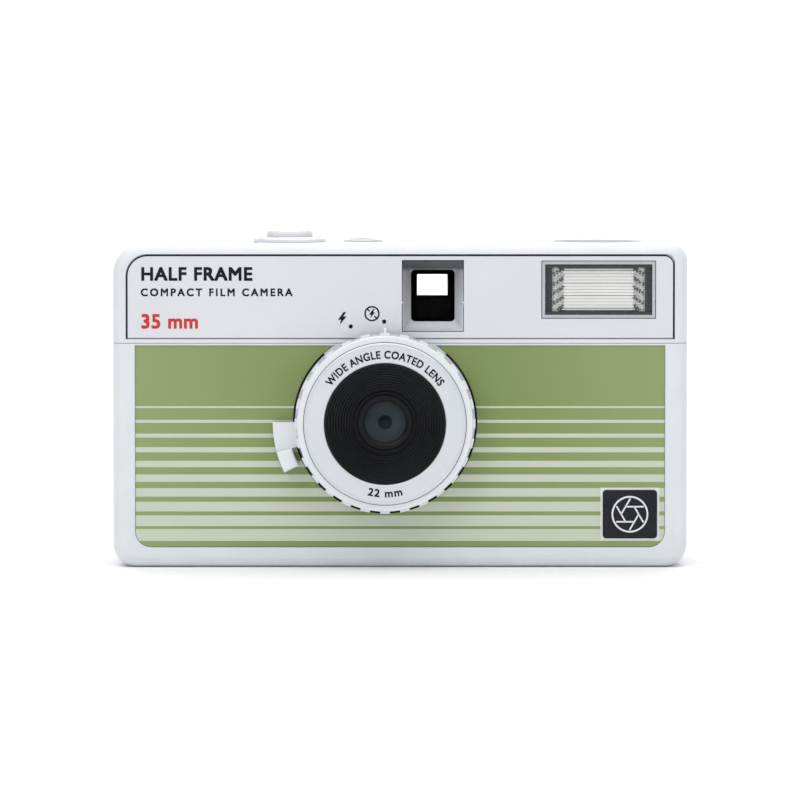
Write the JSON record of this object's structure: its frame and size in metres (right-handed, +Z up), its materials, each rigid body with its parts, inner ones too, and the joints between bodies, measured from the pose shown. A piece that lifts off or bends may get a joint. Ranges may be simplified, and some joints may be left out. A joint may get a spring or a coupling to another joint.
{
  "type": "half frame camera",
  "caption": "Flat plastic half frame film camera with a round lens ring, stripe-faced front, viewfinder, built-in flash, thumb wheel, folding rewind crank and hinged back.",
  "frame": {"origin": "middle of the camera's box, on the surface that it stands on", "axes": "+X to the right as the lens faces the viewer, +Y from the lens to the back, +Z up"},
  "size_m": [0.11, 0.039, 0.0644],
  "materials": {
    "white_shell": "satin white moulding",
    "white_ring": "glossy white moulding",
    "silver_face": "fine silver-grey lacquer",
    "striped_face": "green with pale stripes, satin",
    "badge_black": "glossy black",
    "black_frame": "matt black moulding",
    "lens_black": "matt black",
    "steel": "satin",
    "spring_steel": "bright wire",
    "brass": "turned",
    "lens_glass": "coated",
    "clear_plastic": "clear moulding",
    "reflector": "bright plated",
    "board_green": "lacquered board",
    "foam": "foam",
    "capacitor_sleeve": "shrink sleeve",
    "copper_winding": "varnished wire and tape",
    "dial_white": "printed dial",
    "lamp_red": "tinted"
  },
  "bodies": {
    "camera_body": {"front_cover": "white_shell", "top_cover": "white_shell", "upper_face_panel": "silver_face", "striped_panel": "striped_face", "badge": "badge_black", "film_chassis": "black_frame", "transport_deck": "black_frame", "hinge_pin": "steel", "strap_bar": "steel", "latch_spring": "spring_steel", "counter_window": "clear_plastic", "lens_core": "black_frame", "name_ring": "white_ring", "lens_cone": "lens_black", "front_element": "lens_glass", "rear_element": "lens_glass", "shutter_plate": "lens_black", "flash_window": "clear_plastic", "flash_reflector": "reflector", "flash_tube": "lens_glass", "flash_board": "board_green", "flash_transformer": "copper_winding", "flash_capacitor": "capacitor_sleeve", "ready_lamp": "lamp_red", "finder_frame": "clear_plastic", "finder_tube": "black_frame", "finder_front_lens": "clear_plastic", "eyepiece_frame": "black_frame", "eyepiece_lens": "clear_plastic", "tripod_socket": "brass", "battery_contacts": "steel", "body_screws": "steel", "button_spring": "spring_steel"},
    "door": {"rear_door": "white_shell", "door_seal": "foam", "pressure_spring": "spring_steel"},
    "pressure_pad": {"pressure_plate": "black_frame"},
    "latch": {"door_latch": "white_shell"},
    "winder": {"advance_wheel": "black_frame", "take_up_spool": "black_frame"},
    "sprocket": {"sprocket_shaft": "black_frame"},
    "counter": {"counter_dial": "dial_white"},
    "wheel_pawl": {"pawl": "steel"},
    "rocker": {"release_lever": "steel"},
    "button": {"shutter_button": "white_ring"},
    "bulb_selector": {"bulb_ring": "white_ring"},
    "flash_selector": {"flash_ring": "white_ring"},
    "aperture": {"aperture_plate": "lens_black"},
    "star_selector": {"star_lever": "white_ring"},
    "star_filter": {"star_filter_carrier": "lens_black", "star_filter_glass": "lens_glass"},
    "blade": {"shutter_blade": "lens_black"},
    "striker": {"striker_lever": "steel"},
    "rewind_slider": {"rewind_clip": "steel"},
    "rewinder": {"rewind_knob": "black_frame", "rewind_fork": "black_frame"},
    "crank": {"rewind_crank": "black_frame"},
    "handle": {"crank_handle": "black_frame"},
    "battery_flap": {"battery_door": "white_shell"},
    "release_button": {"rewind_release": "black_frame"}
  },
  "joints": [
    {"name": "door_open", "type": "hinge", "parent": "camera_body", "child": "door", "pos_m": [-0.0518, 0.0143, 0.028], "axis": [0, 0, 1], "range_deg": [0, 110]},
    {"name": "pressure_plate_press", "type": "slide", "parent": "door", "child": "pressure_pad", "axis": [0, 1, 0], "range_m": [0, 0.0004], "stiffness_N_per_m": 200, "springref_m": -0.0002},
    {"name": "latch_slide", "type": "slide", "parent": "camera_body", "child": "latch", "axis": [0, 0, -1], "range_m": [0, 0.003], "stiffness_N_per_m": 60, "springref_m": -0.001},
    {"name": "wheel_turn", "type": "hinge", "parent": "camera_body", "child": "winder", "pos_m": [-0.039, 0.0051, 0.051], "axis": [0, 0, 1], "continuous": true},
    {"name": "sprocket_turn", "type": "hinge", "parent": "camera_body", "child": "sprocket", "pos_m": [-0.0205, 0.0053, 0.028], "axis": [0, 0, 1], "continuous": true},
    {"name": "counter_turn", "type": "hinge", "parent": "camera_body", "child": "counter", "pos_m": [-0.0093, 0.0062, 0.0566], "axis": [0, 0, 1], "continuous": true},
    {"name": "pawl_lift", "type": "hinge", "parent": "camera_body", "child": "wheel_pawl", "pos_m": [-0.0305, -0.002, 0.0491], "axis": [0, 0, -1], "range_deg": [0, 10], "stiffness_Nm_per_rad": 0.0005, "springref_deg": -5.73},
    {"name": "button_press", "type": "slide", "parent": "camera_body", "child": "button", "axis": [0, 0, -1], "range_m": [0, 0.0013], "stiffness_N_per_m": 800, "springref_m": -0.0003, "deforming": ["button_spring"]},
    {"name": "release_lever_turn", "type": "hinge", "parent": "camera_body", "child": "rocker", "pos_m": [-0.02125, -0.004, 0.0498], "axis": [-1, 0, 0], "range_deg": [0, 15.1]},
    {"name": "striker_turn", "type": "hinge", "parent": "camera_body", "child": "striker", "pos_m": [-0.01185, -0.0078, 0.031], "axis": [0, -1, 0], "range_deg": [0, 20.1]},
    {"name": "blade_turn", "type": "hinge", "parent": "camera_body", "child": "blade", "pos_m": [0.00415, -0.0078, 0.022], "axis": [0, -1, 0], "range_deg": [0, 30], "stiffness_Nm_per_rad": 0.0002, "springref_deg": -11.46},
    {"name": "bulb_ring_turn", "type": "hinge", "parent": "camera_body", "child": "bulb_selector", "pos_m": [-0.02125, 0.001, 0.062], "axis": [0, 0, 1], "range_deg": [0, 40]},
    {"name": "flash_ring_turn", "type": "hinge", "parent": "camera_body", "child": "flash_selector", "pos_m": [-0.00285, -0.0195, 0.028], "axis": [0, -1, 0], "range_deg": [0, 19.5]},
    {"name": "aperture_turn", "type": "hinge", "parent": "camera_body", "child": "aperture", "pos_m": [0.00165, -0.0086, 0.02021], "axis": [0, -1, 0], "range_deg": [0, 32.1]},
    {"name": "star_lever_turn", "type": "hinge", "parent": "camera_body", "child": "star_selector", "pos_m": [-0.00285, -0.0195, 0.028], "axis": [0, 1, 0], "range_deg": [0, 25]},
    {"name": "star_filter_turn", "type": "hinge", "parent": "camera_body", "child": "star_filter", "pos_m": [-0.01168, -0.0086, 0.0331], "axis": [0, 1, 0], "range_deg": [0, 50.1]},
    {"name": "rewind_lift", "type": "slide", "parent": "camera_body", "child": "rewind_slider", "axis": [0, 0, 1], "range_m": [0, 0.0056]},
    {"name": "rewind_turn", "type": "hinge", "parent": "rewind_slider", "child": "rewinder", "pos_m": [0.038, 0.0031, 0.0578], "axis": [0, 0, 1], "continuous": true},
    {"name": "crank_fold", "type": "hinge", "parent": "rewinder", "child": "crank", "pos_m": [0.0325, 0.0031, 0.0607], "axis": [0, -1, 0], "range_deg": [0, 120]},
    {"name": "handle_spin", "type": "hinge", "parent": "crank", "child": "handle", "pos_m": [0.043, 0.0031, 0.0607], "axis": [0, 0, 1], "continuous": true},
    {"name": "battery_door_open", "type": "hinge", "parent": "camera_body", "child": "battery_flap", "pos_m": [0.0185, 0.00905, 0.0008], "axis": [1, 0, 0], "range_deg": [0, 95]},
    {"name": "rewind_release_press", "type": "slide", "parent": "camera_body", "child": "release_button", "axis": [0, 0, 1], "range_m": [0, 0.0013], "stiffness_N_per_m": 300, "springref_m": -0.0003}
  ],
  "couplings": [
    {"joint": "counter_turn", "follows": "sprocket_turn", "ratio": -0.025},
    {"joint": "release_lever_turn", "follows": "button_press", "rad_per_m": 201.38},
    {"joint": "striker_turn", "follows": "button_press", "rad_per_m": 268.51},
    {"joint": "aperture_turn", "follows": "flash_ring_turn", "ratio": 1.641},
    {"joint": "star_filter_turn", "follows": "star_lever_turn", "ratio": 2}
  ]
}
